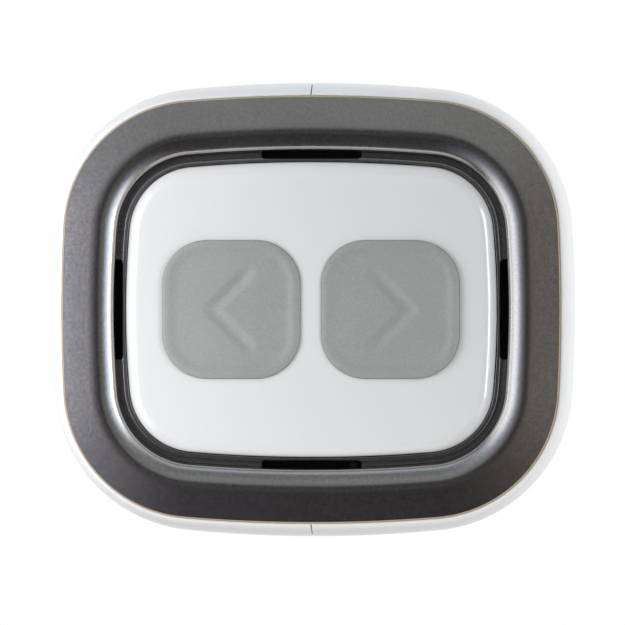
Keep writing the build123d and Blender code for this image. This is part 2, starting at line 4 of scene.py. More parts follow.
import bpy
import bmesh
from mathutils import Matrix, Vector


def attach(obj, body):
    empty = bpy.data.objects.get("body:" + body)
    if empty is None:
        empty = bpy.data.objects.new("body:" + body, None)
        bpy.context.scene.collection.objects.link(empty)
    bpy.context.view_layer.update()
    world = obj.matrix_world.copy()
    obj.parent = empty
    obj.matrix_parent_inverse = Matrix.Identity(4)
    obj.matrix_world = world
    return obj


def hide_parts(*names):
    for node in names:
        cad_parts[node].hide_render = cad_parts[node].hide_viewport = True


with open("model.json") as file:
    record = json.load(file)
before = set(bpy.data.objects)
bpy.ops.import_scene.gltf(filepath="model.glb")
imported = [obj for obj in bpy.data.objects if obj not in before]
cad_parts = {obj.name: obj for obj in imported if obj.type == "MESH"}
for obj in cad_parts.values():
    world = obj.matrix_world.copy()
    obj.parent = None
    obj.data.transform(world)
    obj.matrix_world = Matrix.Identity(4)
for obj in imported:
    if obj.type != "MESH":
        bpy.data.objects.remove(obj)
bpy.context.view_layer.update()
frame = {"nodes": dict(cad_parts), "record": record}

MM = 0.001
scene = bpy.context.scene

# The driving sizes of the part, in millimetres, as in its CAD source.
# Outline: (half width, half height, top arc, side arc, corner radius)
BODY = (30.0, 26.05, 147.0, 146.0, 16.9)
BEZEL = (28.2, 24.15, 173.0, 193.0, 14.85)
WINDOW = (21.1, 16.79, 167.0, 103.5, 7.65)
PANEL = (21.0, 16.69, 166.9, 103.4, 7.55)
NECK = (20.5, 20.5, 20.9, 20.9, 19.9)
NECK_IN = (18.7, 18.7, 19.1, 19.1, 18.1)
BOSS = [(-75.0, -3.0), (-52.0, -3.0)]


# ====================================================== camera and light
def build_camera():
    azimuth = math.radians(2.05)
    data = bpy.data.cameras.new("camera")
    data.sensor_width = 36.0
    data.sensor_fit = "HORIZONTAL"
    data.lens = 300.0
    data.clip_start, data.clip_end = 0.01, 50.0
    cam = bpy.data.objects.new("camera", data)
    scene.collection.objects.link(cam)
    target = Vector((-0.21, -85.0, -0.34)) * MM
    back = Vector((math.sin(azimuth), -math.cos(azimuth), 0.0))
    cam.location = target + back * 600.0 * MM
    cam.rotation_mode = "QUATERNION"
    cam.rotation_quaternion = (-back).to_track_quat("-Z", "Y")
    scene.camera = cam
    return cam


def build_world():
    """A white sweep for the camera; for all else a soft studio: a big soft box
    on the left, one further out on the right, a dim one above and a dark
    middle where the camera stands."""
    world = bpy.data.worlds.new("studio")
    scene.world = world
    world.use_nodes = True
    nt = world.node_tree
    nt.nodes.clear()
    n = nt.nodes.new
    out = n("ShaderNodeOutputWorld")
    mix = n("ShaderNodeMixShader")
    path = n("ShaderNodeLightPath")
    white = n("ShaderNodeBackground")
    white.inputs["Color"].default_value = (1, 1, 1, 1)
    white.inputs["Strength"].default_value = 1.0
    env = n("ShaderNodeBackground")
    env.inputs["Strength"].default_value = 0.755
    nt.links.new(path.outputs["Is Camera Ray"], mix.inputs[0])
    nt.links.new(env.outputs[0], mix.inputs[1])
    nt.links.new(white.outputs[0], mix.inputs[2])
    nt.links.new(mix.outputs[0], out.inputs[0])

    tc = n("ShaderNodeTexCoord")
    sep = n("ShaderNodeSeparateXYZ")
    nt.links.new(tc.outputs["Generated"], sep.inputs[0])

    def math_node(op, a, b=None, clamp=False):
        m = n("ShaderNodeMath")
        m.operation = op
        m.use_clamp = clamp
        for i, v in enumerate((a, b)):
            if v is None:
                continue
            if isinstance(v, (int, float)):
                m.inputs[i].default_value = v
            else:
                nt.links.new(v, m.inputs[i])
        return m.outputs[0]

    x, y, z = sep.outputs
    theta = math_node("DIVIDE", math_node("ARCCOSINE", math_node("MULTIPLY", y, -1.0)), math.pi)
    side = math_node("MAXIMUM", math_node("SQRT", math_node("ADD", math_node("MULTIPLY", x, x), math_node("MULTIPLY", z, z))), 1e-4)
    cx, cz = math_node("DIVIDE", x, side), math_node("DIVIDE", z, side)

    def squared_part(v, sign):
        p = math_node("MAXIMUM", math_node("MULTIPLY", v, sign), 0.0)
        return math_node("MULTIPLY", p, p)

    weights = {
        "right": squared_part(cx, 1.0), "left": squared_part(cx, -1.0),
        "up": squared_part(cz, 1.0), "down": squared_part(cz, -1.0),
    }
    # angle from the camera's axis in degrees, and the light's colour (up to TOP)
    TOP = 2.0
    ramps = {
        "left": [(0, 0, 0, 0), (7, .13, .145, .17), (11, .10, .10, .135), (15, .19, .19, .19), (20, .48, .41, .40),
                 (27, .37, .38, .45), (36, 1.09, 1.26, 1.58), (46, 1.36, 1.44, 1.66), (58, .1, .1, .1),
                 (74, .05, .05, .05), (92, .1, .1, .1), (125, 1.02, 1.04, 1.09), (150, 1.10, 1.13, 1.17), (180, 1.25, 1.27, 1.28)],
        "right": [(0, 0, 0, 0), (7, .01, .01, .01), (11, .092, .094, .094), (15, .29, .265, .24), (20, .26, .20, .115),
                  (27, .14, .15, .16), (36, .53, .61, .72), (46, 1.1, 1.1, 1.1), (58, 1.55, 1.38, 1.16),
                  (74, 1.30, 1.13, .88), (92, .30, .33, .38), (125, 1.28, 1.30, 1.34), (150, 1.42, 1.44, 1.47), (180, 1.25, 1.27, 1.28)],
        "up": [(0, 0, 0, 0), (7, .01, .01, .01), (11, .36, .385, .395), (15, .52, .55, .54), (20, .38, .40, .38),
               (27, .56, .59, .565), (36, .32, .345, .31), (46, .20, .255, .28), (58, 1.15, 1.22, 1.34), (74, .32, .28, .23),
               (92, .66, .72, .78), (125, 1.10, 1.13, 1.18), (150, 1.14, 1.16, 1.20), (180, 1.25, 1.27, 1.28)],
        "down": [(0, 0, 0, 0), (7, .09, .05, .02), (11, .13, .137, .157), (15, 0, 0, 0), (20, .003, .003, .003),
                 (27, .045, .034, .042), (36, .030, .027, .02), (46, .08, .07, .09), (58, .02, .02, .02), (74, .06, .06, .10),
                 (92, .68, .62, .48), (125, .80, .80, .82), (150, .50, .50, .51), (180, 1.25, 1.27, 1.28)],
    }
    total = None

    def add(vector):
        nonlocal total
        if total is None:
            total = vector
            return
        a = n("ShaderNodeVectorMath")
        a.operation = "ADD"
        nt.links.new(total, a.inputs[0])
        nt.links.new(vector, a.inputs[1])
        total = a.outputs[0]

    def scaled(vector, factor):
        s = n("ShaderNodeVectorMath")
        s.operation = "SCALE"
        if isinstance(vector, tuple):
            s.inputs[0].default_value = vector
        else:
            nt.links.new(vector, s.inputs[0])
        nt.links.new(factor, s.inputs["Scale"])
        return s.outputs[0]

    for key, stops in ramps.items():
        r = n("ShaderNodeValToRGB")
        r.color_ramp.interpolation = "LINEAR"
        el = r.color_ramp.elements
        while len(el) > 1:
            el.remove(el[0])
        for i, (deg, *tint) in enumerate(stops):
            e = el[0] if i == 0 else el.new(deg / 180.0)
            e.position = deg / 180.0
            e.color = tuple(c / TOP for c in tint) + (1.0,)
        nt.links.new(theta, r.inputs[0])
        add(scaled(r.outputs[0], math_node("MULTIPLY", weights[key], TOP)))

    # soft boxes with straight edges: azimuth and elevation limits in degrees, softness, level, tint
    az = math_node("MULTIPLY", math_node("ARCTAN2", x, math_node("MULTIPLY", y, -1.0)), 180.0 / math.pi)
    elev = math_node("MULTIPLY", math_node("ARCSINE", z), 180.0 / math.pi)

    def edge(v, lo, hi):
        r = n("ShaderNodeMapRange")
        r.interpolation_type = "SMOOTHSTEP"
        r.inputs["From Min"].default_value, r.inputs["From Max"].default_value = lo, hi
        nt.links.new(v, r.inputs["Value"])
        return r.outputs[0]

    for a0, a1, e0, e1, soft, level, tint in BOXES:
        f = math_node("MULTIPLY", edge(az, a0 - soft, a0 + soft), edge(az, a1 + soft, a1 - soft))
        g = math_node("MULTIPLY", edge(elev, e0 - soft, e0 + soft), edge(elev, e1 + soft, e1 - soft))
        add(scaled(tuple(c * level for c in tint), math_node("MULTIPLY", f, g)))
    nt.links.new(total, env.inputs["Color"])


BOXES = [
    (34, 61, -29, 29, 1.5, 1.45, (0.84, 0.97, 1.11)),
    (50.0, 56, -12, 21, 0.6, 9.5, (1.0, 1.0, 1.0)),
    (-60, -35, -29, 29, 7, 1.45, (1.02, 1.01, 0.93)),
]


def area_light(name, place, aim, size, power, tint=(1, 1, 1), glossy=True):
    data = bpy.data.lights.new(name, "AREA")
    data.shape = "RECTANGLE"
    data.size, data.size_y = size
    data.energy = power
    data.color = tint
    ob = bpy.data.objects.new(name, data)
    scene.collection.objects.link(ob)
    ob.location = Vector(place)
    ob.rotation_mode = "QUATERNION"
    ob.rotation_quaternion = (Vector(aim) - Vector(place)).to_track_quat("-Z", "Y")
    ob.visible_camera = False
    ob.visible_glossy = glossy
    return ob


def build_lights():
    area_light("raking_left", (-0.125, -0.172, 0.018), (0.0, -0.095, 0.0), (0.06, 0.12), 0.100, (0.99, 0.995, 1.0), glossy=False)
    area_light("raking_low", (0.012, -0.128, -0.075), (0.0, -0.095, 0.0), (0.07, 0.03), 0.0095, (1.0, 0.985, 0.965), glossy=False)
    area_light("near_left", (-0.060, -0.125, 0.0), (0.0, -0.09, 0.0), (0.03, 0.10), 0.0165, (0.975, 0.975, 0.95))
    area_light("near_low", (0.0, -0.125, -0.070), (0.0, -0.09, 0.0), (0.08, 0.03), 0.0075, (1.0, 0.99, 0.90))


def build_floor():
    me = bpy.data.meshes.new("floor")
    z = -0.092
    me.from_pydata([(-3, -3.5, z), (3, -3.5, z), (3, 0.7, z), (-3, 0.7, z)], [], [(0, 1, 2, 3)])
    ob = bpy.data.objects.new("floor", me)
    scene.collection.objects.link(ob)
    paper = surface("floor_paper", (0.88, 0.88, 0.88), rough=0.8, grain=(900, 0.2, 0.00005), var=0.01)
    nt = paper.node_tree
    out = next(x for x in nt.nodes if x.type == "OUTPUT_MATERIAL")
    geo = nt.nodes.new("ShaderNodeNewGeometry")
    clear = nt.nodes.new("ShaderNodeBsdfTransparent")
    both = nt.nodes.new("ShaderNodeMixShader")
    nt.links.new(geo.outputs["Backfacing"], both.inputs[0])
    nt.links.new(nt.nodes["Principled BSDF"].outputs[0], both.inputs[1])
    nt.links.new(clear.outputs[0], both.inputs[2])
    nt.links.new(both.outputs[0], out.inputs["Surface"])
    me.materials.append(paper)
    ob.visible_glossy = False
    ob.visible_diffuse = False
    ob.visible_transmission = False
    ob.visible_shadow = False


# ============================================================= materials
def surface(name, color, rough=0.4, metal=0.0, var=0.04, rough_var=0.05, grain=(3000, 0.25, 0.00001),
            stretch=(1, 1, 1), coat=0.0, coat_rough=0.05, ior=1.5, spec=0.5, trans=0.0, sss=0.0,
            sheen=0.0, speck=None, streak=None, second=None, aniso=0.0):
    """A Principled finish whose tone, gloss and relief vary with noise in the object's own space.
    speck: (colour, scale, share) of small flecks; streak: (scale, strength, stretch) of tool marks;
    second: (colour, scale) of a second broad tone."""
    m = bpy.data.materials.new(name)
    m.use_nodes = True
    nt = m.node_tree
    bsdf = nt.nodes["Principled BSDF"]
    n = nt.nodes.new
    tc = n("ShaderNodeTexCoord")
    mp = n("ShaderNodeMapping")
    mp.inputs["Scale"].default_value = stretch
    nt.links.new(tc.outputs["Object"], mp.inputs["Vector"])
    fine = n("ShaderNodeTexNoise")
    fine.inputs["Scale"].default_value = grain[0]
    fine.inputs["Detail"].default_value = 4.0
    fine.inputs["Roughness"].default_value = 0.6
    nt.links.new(mp.outputs[0], fine.inputs["Vector"])
    broad = n("ShaderNodeTexNoise")
    broad.inputs["Scale"].default_value = 90.0
    broad.inputs["Detail"].default_value = 3.0
    nt.links.new(mp.outputs[0], broad.inputs["Vector"])

    def mix(fac, a, b, blend="MIX"):
        x = n("ShaderNodeMix")
        x.data_type = "RGBA"
        x.blend_type = blend
        for v, s in ((fac, x.inputs[0]), (a, x.inputs[6]), (b, x.inputs[7])):
            if isinstance(v, (int, float)):
                s.default_value = v
            elif isinstance(v, tuple):
                s.default_value = v if len(v) == 4 else v + (1.0,)
            else:
                nt.links.new(v, s)
        return x.outputs[2]

    def shade(k):
        return tuple(min(1.0, c * k) for c in color)

    col = mix(broad.outputs["Fac"], shade(1 - var), shade(1 + var))
    col = mix(0.5, col, mix(fine.outputs["Fac"], shade(1 - 1.6 * var), shade(1 + 1.6 * var)))
    if second:
        s = n("ShaderNodeTexNoise")
        s.inputs["Scale"].default_value = second[1]
        s.inputs["Detail"].default_value = 5.0
        nt.links.new(mp.outputs[0], s.inputs["Vector"])
        r = n("ShaderNodeMapRange")
        r.inputs["From Min"].default_value, r.inputs["From Max"].default_value = 0.42, 0.62
        nt.links.new(s.outputs["Fac"], r.inputs["Value"])
        col = mix(r.outputs[0], col, second[0])
    if speck:
        v = n("ShaderNodeTexVoronoi")
        v.inputs["Scale"].default_value = speck[1]
        nt.links.new(mp.outputs[0], v.inputs["Vector"])
        r = n("ShaderNodeMapRange")
        r.inputs["From Min"].default_value = speck[2]
        r.inputs["From Max"].default_value = speck[2] * 0.6
        nt.links.new(v.outputs["Distance"], r.inputs["Value"])
        col = mix(r.outputs[0], col, speck[0])
    nt.links.new(col, bsdf.inputs["Base Color"])
    rr = n("ShaderNodeMapRange")
    rr.inputs["From Min"].default_value, rr.inputs["From Max"].default_value = 0.3, 0.7
    rr.inputs["To Min"].default_value = max(0.02, rough - rough_var)
    rr.inputs["To Max"].default_value = min(1.0, rough + rough_var)
    nt.links.new(fine.outputs["Fac"], rr.inputs["Value"])
    nt.links.new(rr.outputs[0], bsdf.inputs["Roughness"])
    height = fine.outputs["Fac"]
    if streak:
        w = n("ShaderNodeMapping")
        w.inputs["Scale"].default_value = streak[2]
        nt.links.new(tc.outputs["Object"], w.inputs["Vector"])
        s = n("ShaderNodeTexNoise")
        s.inputs["Scale"].default_value = streak[0]
        s.inputs["Detail"].default_value = 2.0
        nt.links.new(w.outputs[0], s.inputs["Vector"])
        a = n("ShaderNodeMath")
        a.operation = "MULTIPLY_ADD"
        nt.links.new(s.outputs["Fac"], a.inputs[0])
        a.inputs[1].default_value = streak[1]
        nt.links.new(fine.outputs["Fac"], a.inputs[2])
        height = a.outputs[0]
    bump = n("ShaderNodeBump")
    bump.inputs["Strength"].default_value = grain[1]
    bump.inputs["Distance"].default_value = grain[2]
    nt.links.new(height, bump.inputs["Height"])
    nt.links.new(bump.outputs[0], bsdf.inputs["Normal"])
    b = bsdf.inputs
    b["Metallic"].default_value = metal
    b["IOR"].default_value = ior
    b["Specular IOR Level"].default_value = spec
    b["Coat Weight"].default_value = coat
    b["Coat Roughness"].default_value = coat_rough
    b["Transmission Weight"].default_value = trans
    b["Anisotropic"].default_value = aniso
    if sheen:
        b["Sheen Weight"].default_value = sheen
        b["Sheen Roughness"].default_value = 0.4
    if sss:
        b["Subsurface Weight"].default_value = sss
        b["Subsurface Radius"].default_value = (0.0012, 0.0012, 0.0011)
        b["Subsurface Scale"].default_value = 1.0
    m.diffuse_color = color + (1.0,)
    return m


MAT = {
    "casing_white": surface("casing_white", (0.86, 0.864, 0.868), rough=0.24, var=0.006, rough_var=0.03,
                            grain=(1400, 0.10, 0.000008), coat=0.3, coat_rough=0.08, sss=0.05),
    "bezel_gunmetal": surface("bezel_gunmetal", (0.440, 0.427, 0.428), rough=0.225, metal=1.0, var=0.30, rough_var=0.024,
                              grain=(3600, 0.12, 0.000008)),
    "panel_white": surface("panel_white", (0.718, 0.721, 0.729), rough=0.11, var=0.018, rough_var=0.02,
                           grain=(2600, 0.06, 0.000006), coat=0.6, coat_rough=0.04, sss=0.04),
    "key_grey": surface("key_grey", (0.300, 0.309, 0.301), rough=0.50, spec=0.7, var=0.27, rough_var=0.08,
                        grain=(3800, 0.7, 0.00003), sheen=0.15),
    "window_smoke": surface("window_smoke", (0.045, 0.048, 0.05), rough=0.06, var=0.1, rough_var=0.015,
                            grain=(500, 0.04, 0.00001), trans=0.75, ior=1.49, coat=0.5),
    "carrier_black": surface("carrier_black", (0.018, 0.018, 0.019), rough=0.5, var=0.15, grain=(2600, 0.35, 0.00002)),
    "board_green": surface("board_green", (0.012, 0.115, 0.045), rough=0.32, var=0.12, coat=0.5, coat_rough=0.15,
                           grain=(1500, 0.2, 0.00001), second=((0.018, 0.16, 0.07), 420.0)),
    # painted shade: the key board is black so that what shows through the vent slots in front of it reads dark
    "board_black": surface("board_black", (0.012, 0.012, 0.013), rough=0.45, var=0.2, grain=(1500, 0.2, 0.00001),
                           second=((0.016, 0.017, 0.018), 420.0)),
    "black_epoxy": surface("black_epoxy", (0.022, 0.022, 0.023), rough=0.42, var=0.2, grain=(5000, 0.4, 0.00001)),
    "tin_steel": surface("tin_steel", (0.62, 0.62, 0.60), rough=0.33, metal=1.0, var=0.06, grain=(2500, 0.25, 0.00001),
                         streak=(600, 0.8, (1, 6, 1))),
    "screw_steel": surface("screw_steel", (0.55, 0.55, 0.56), rough=0.28, metal=1.0, var=0.06,
                           grain=(3000, 0.25, 0.00001), streak=(900, 0.8, (5, 1, 1))),
    "spring_steel": surface("spring_steel", (0.58, 0.57, 0.55), rough=0.25, metal=1.0, var=0.05,
                            grain=(3000, 0.2, 0.00001), streak=(900, 0.6, (1, 6, 1))),
    "pin_steel": surface("pin_steel", (0.66, 0.66, 0.67), rough=0.16, metal=1.0, var=0.04,
                         grain=(3000, 0.15, 0.000006), streak=(1200, 0.8, (1, 9, 1))),
    "motor_steel": surface("motor_steel", (0.56, 0.56, 0.54), rough=0.3, metal=1.0, var=0.06,
                           grain=(2500, 0.25, 0.00001), streak=(900, 1.0, (1, 7, 1))),
    "magnet_grey": surface("magnet_grey", (0.10, 0.10, 0.105), rough=0.48, metal=0.6, var=0.12,
                           grain=(3500, 0.5, 0.00002)),
    "armature_copper": surface("armature_copper", (0.72, 0.30, 0.14), rough=0.3, metal=1.0, var=0.12,
                               grain=(2500, 0.3, 0.00001), streak=(1500, 1.5, (1, 8, 1))),
    "brass_bare": surface("brass_bare", (0.78, 0.56, 0.25), rough=0.26, metal=1.0, var=0.06,
                          grain=(2500, 0.25, 0.00001), streak=(1200, 0.8, (1, 7, 1))),
    "nut_nickel": surface("nut_nickel", (0.66, 0.64, 0.60), rough=0.22, metal=1.0, var=0.05, rough_var=0.07,
                          grain=(1800, 0.25, 0.00001), streak=(700, 1.2, (1, 9, 1))),
    "adapter_black": surface("adapter_black", (0.024, 0.024, 0.026), rough=0.42, var=0.15, grain=(2600, 0.35, 0.00002),
                             second=((0.03, 0.03, 0.031), 300.0)),
    "gear_white": surface("gear_white", (0.76, 0.75, 0.70), rough=0.38, var=0.03, grain=(2000, 0.2, 0.00001), sss=0.15),
    "gear_black": surface("gear_black", (0.025, 0.025, 0.027), rough=0.36, var=0.15, grain=(2200, 0.25, 0.00001)),
    "frame_grey": surface("frame_grey", (0.16, 0.165, 0.17), rough=0.46, var=0.07, grain=(2400, 0.3, 0.000015)),
    "cell_wrap": surface("cell_wrap", (0.07, 0.16, 0.12), rough=0.2, metal=0.35, var=0.08, coat=0.7, coat_rough=0.08,
                         grain=(1500, 0.15, 0.00001)),
    "tray_white": surface("tray_white", (0.74, 0.74, 0.73), rough=0.42, var=0.02, grain=(2400, 0.25, 0.000015)),
    "wire_red": surface("wire_red", (0.50, 0.02, 0.015), rough=0.38, var=0.08, grain=(1800, 0.2, 0.00001)),
    "lcd_glass": surface("lcd_glass", (0.17, 0.19, 0.165), rough=0.07, var=0.04, rough_var=0.01, coat=0.8,
                         coat_rough=0.03, grain=(900, 0.03, 0.00001)),
    "light_guide": surface("light_guide", (0.80, 0.80, 0.76), rough=0.3, var=0.03, grain=(1200, 0.15, 0.00001), sss=0.3),
    "capacitor_blue": surface("capacitor_blue", (0.02, 0.05, 0.15), rough=0.3, var=0.08, coat=0.4,
                              grain=(1500, 0.2, 0.00001)),
    "sensor_bead": surface("sensor_bead", (0.012, 0.012, 0.014), rough=0.6, var=0.1, grain=(2000, 0.2, 0.00001)),
    "connector_cream": surface("connector_cream", (0.70, 0.66, 0.52), rough=0.4, var=0.03, grain=(2200, 0.2, 0.00001)),
    "stem_red": surface("stem_red", (0.40, 0.03, 0.025), rough=0.4, var=0.07, grain=(2200, 0.2, 0.00001)),
}
# painted highlight: a warm tan colour on the bezel's outer chamfer, standing for the bright colour fringe along that
# edge
PAINTED_EDGE_HIGHLIGHT = surface("bezel_edge_painted_highlight", (0.52, 0.39, 0.25), rough=0.45, metal=0.15, var=0.05, grain=(4200, 0.3, 0.00001))

slot_of = {s["node"]: s["material_slot"] for s in frame["record"]["subparts"]}
for name, ob in frame["nodes"].items():
    # the key board gets the black board, which paints the shade seen through the vent slots
    m = MAT["board_black" if name == "button_pcb" else slot_of[name]]
    if not ob.data.materials:
        ob.data.materials.append(m)
    for s in ob.material_slots:
        s.material = m


# =============================================================== outlines
def grow(p, t):
    return tuple(v + t for v in p)


def between(p, q, f):
    return tuple(a + (b - a) * f for a, b in zip(p, q))


def corner_centre(p):
    a, b, rt, rl, rc = p
    x1, y0 = a - rl, b - rt
    r0, r1 = rt - rc, rl - rc
    d = math.hypot(x1, y0)
    k = (r0 * r0 - r1 * r1 + d * d) / (2 * d)
    h = math.sqrt(max(0.0, r0 * r0 - k * k))
    xm, ym = k * x1 / d, y0 - k * y0 / d
    c1 = (xm - h * y0 / d, ym - h * x1 / d)
    c2 = (xm + h * y0 / d, ym + h * x1 / d)
    return c1 if sum(c1) > sum(c2) else c2


def right_side(p, nt=20, nc=26, ns=30):
    """Points (x, z) of an outline from the top centre down the right side to the bottom centre."""
    a, b, rt, rl, rc = p
    cx, cz = corner_centre(p)
    at = math.atan2(cz - (b - rt), cx)
    asd = math.atan2(cz, cx - (a - rl))
    up = []
    for i in range(nt):
        t = math.pi / 2 + (at - math.pi / 2) * i / nt
        up.append((rt * math.cos(t), b - rt + rt * math.sin(t)))
    for i in range(nc):
        t = at + (asd - at) * i / nc
        up.append((cx + rc * math.cos(t), cz + rc * math.sin(t)))
    mid = []
    for i in range(ns + 1):
        t = asd - 2 * asd * i / ns
        mid.append((a - rl + rl * math.cos(t), rl * math.sin(t)))
    return up + mid + [(x, -z) for x, z in reversed(up)]


def full_outline(p, **k):
    r = right_side(p, **k)
    return r + [(-x, z) for x, z in reversed(r[1:-1])]


CAVITY = grow(BEZEL, 0.06)
CASE_EDGE = grow(BEZEL, 0.26)


def ring(n):
    return between(BEZEL, WINDOW, n / 7.4)


def flare(y):
    k = 0.965
    u = (-85.0 - y) / 10.6 * k
    g = (1 - math.sqrt(max(0.0, 1 - u * u))) / (1 - math.sqrt(1 - k * k))
    return between(BODY, CASE_EDGE, g)


def section(y):
    if y < -85.0:
        return flare(y)
    if y < -34.0:
        return BODY
    return between(NECK, BODY, math.cos((y + 34.0) / 17.0 * math.pi / 2))


def crown(x, y, p=None):
    """Height of the casing's upper surface over (x, y)."""
    a, b, rt, rl, rc = p or section(y)
    return b - rt + math.sqrt(rt * rt - x * x)


def rounded(w, l, r, n=8, m=6):
    """Rounded rectangle, w by l, as points around it; n per corner, m per side."""
    pts = []
    cx, cy = w / 2 - r, l / 2 - r
    corners = [(cx, cy, 0), (-cx, cy, 90), (-cx, -cy, 180), (cx, -cy, 270)]
    for i, (x, y, a0) in enumerate(corners):
        for k in range(n + 1):
            a = math.radians(a0 + 90 * k / n)
            pts.append((x + r * math.cos(a), y + r * math.sin(a)))
        nx, ny, _ = corners[(i + 1) % 4]
        a = math.radians(a0 + 90)
        p0 = (x + r * math.cos(a), y + r * math.sin(a))
        p1 = (nx + r * math.cos(a), ny + r * math.sin(a))
        for k in range(1, m):
            f = k / m
            pts.append((p0[0] + (p1[0] - p0[0]) * f, p0[1] + (p1[1] - p0[1]) * f))
    return pts


def outward(pts):
    """Unit outward normals of a closed anticlockwise ring of points."""
    out = []
    n = len(pts)
    for i in range(n):
        x0, y0 = pts[i - 1]
        x1, y1 = pts[(i + 1) % n]
        dx, dy = x1 - x0, y1 - y0
        d = math.hypot(dx, dy) or 1.0
        out.append((dy / d, -dx / d))
    return out


# ============================================================ mesh making
class Shape:
    """Vertices and faces in millimetres."""

    def __init__(self):
        self.v, self.f, self.mat = [], [], {}

    def add(self, pts):
        i = len(self.v)
        self.v.extend(pts)
        return list(range(i, i + len(pts)))

    def strip(self, a, b, closed=True, mat=0):
        n = len(a)
        for i in range(n if closed else n - 1):
            j = (i + 1) % n
            if mat:
                self.mat[len(self.f)] = mat
            self.f.append((a[i], a[j], b[j], b[i]))

    def fan(self, a, centre):
        c = self.add([centre])[0]
        for i in range(len(a)):
            self.f.append((a[i], a[(i + 1) % len(a)], c))

    def rings(self, rows, closed=True, loop=False, mats={}):
        ids = [self.add(r) for r in rows]
        for i, (a, b) in enumerate(zip(ids, ids[1:])):
            self.strip(a, b, closed, mats.get(i, 0))
        if loop:
            self.strip(ids[-1], ids[0], closed)
        return ids

    def mesh(self, name):
        me = bpy.data.meshes.new(name)
        me.from_pydata([(x * MM, y * MM, z * MM) for x, y, z in self.v], [], self.f)
        if self.mat:
            # slot 1 holds the painted highlight colour for the bezel's outer edge
            for m in (MAT["bezel_gunmetal"], PAINTED_EDGE_HIGHLIGHT):
                me.materials.append(m)
            me.polygons.foreach_set("material_index", [self.mat.get(i, 0) for i in range(len(self.f))])
        bm = bmesh.new()
        bm.from_mesh(me)
        bmesh.ops.remove_doubles(bm, verts=bm.verts, dist=1e-7)
        bmesh.ops.recalc_face_normals(bm, faces=bm.faces)
        bm.to_mesh(me)
        bm.free()
        return me

    def object(self, name):
        ob = bpy.data.objects.new(name, self.mesh(name))
        scene.collection.objects.link(ob)
        return ob


def apply_modifiers(ob):
    bpy.context.view_layer.update()
    dg = bpy.context.evaluated_depsgraph_get()
    new = bpy.data.meshes.new_from_object(ob.evaluated_get(dg), depsgraph=dg)
    ob.modifiers.clear()
    old = ob.data
    ob.data = new
    bpy.data.meshes.remove(old)


def carve(ob, cutters, op="DIFFERENCE", solver="EXACT"):
    for c in cutters:
        m = ob.modifiers.new("carve", "BOOLEAN")
        m.object, m.operation, m.solver = c, op, solver
    apply_modifiers(ob)
    for c in cutters:
        me = c.data
        bpy.data.objects.remove(c)
        bpy.data.meshes.remove(me)


def finish_piece(ob, body, slot, nodes=(), angle=32.0, extra=()):
    me = ob.data
    me.name = ob.name
    if not extra:
        me.materials.clear()
        me.materials.append(MAT[slot])
    me.shade_smooth()
    me.set_sharp_from_angle(angle=math.radians(angle))
    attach(ob, body)
    if nodes:
        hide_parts(*nodes)
    return ob


def crease(ob, where, degrees):
    """Split the shading along edges that bend by more than this angle where the test holds."""
    bm = bmesh.new()
    bm.from_mesh(ob.data)
    limit = math.radians(degrees)
    for e in bm.edges:
        if len(e.link_faces) == 2 and all(where(*(c / MM for c in v.co)) for v in e.verts):
            if e.calc_face_angle(0.0) > limit:
                e.smooth = False
    bm.to_mesh(ob.data)
    bm.free()


def prism(pts, y0, y1, name="cut"):
    """A closed prism along Y over points (x, z)."""
    s = Shape()
    a = s.add([(x, y0, z) for x, z in pts])
    b = s.add([(x, y1, z) for x, z in pts])
    s.strip(a, b)
    s.f.append(tuple(a))
    s.f.append(tuple(reversed(b)))
    return s.object(name)


def tube_along_x(r, x0, x1, y, z, n=48, name="cut"):
    s = Shape()
    c = [(r * math.cos(2 * math.pi * i / n), r * math.sin(2 * math.pi * i / n)) for i in range(n)]
    a = s.add([(x0, y + u, z + w) for u, w in c])
    b = s.add([(x1, y + u, z + w) for u, w in c])
    s.strip(a, b)
    s.f.append(tuple(a))
    s.f.append(tuple(reversed(b)))
    return s.object(name)


def block(x0, x1, y0, y1, z0, z1, name="cut"):
    return prism([(x0, z0), (x1, z0), (x1, z1), (x0, z1)], y0, y1, name)


# ================================================================ casing
def on_surface(pts, cy, side, steps, p=None):
    """Rings of points that follow the casing's top (side 1) or underside (side -1):
    steps is a list of (outset, depth below the surface)."""
    nrm = outward(pts)
    rows = []
    for o, d in steps:
        row = []
        for (x, y), (nx, ny) in zip(pts, nrm):
            px, py = x + nx * o, cy + y + ny * o
            row.append((px, py, side * (crown(px, py, p) - d)))
        rows.append(row)
    return rows


def opening_cutter(w, l, r, cy, side, soft=0.28):
    """Cuts an opening through the wall, with a softly rounded mouth."""
    pts = rounded(w, l, r, 8, 16)
    steps = [(0.0, 4.5), (0.0, soft * 1.05)]
    for i in range(1, 6):
        a = math.radians(90 * i / 5)
        steps.append((soft * (1 - math.cos(a)), soft * 1.05 * (1 - math.sin(a))))
    steps.append((soft * 2.2, -0.06))
    steps.append((soft * 2.2, -3.0))
    rows = on_surface(pts, cy, side, steps)
    s = Shape()
    ids = s.rings(rows)
    for row in (ids[0], ids[-1]):
        centre = [sum(s.v[i][k] for i in row) / len(row) for k in range(3)]
        s.fan(row, tuple(centre))
    return s.object("cut")


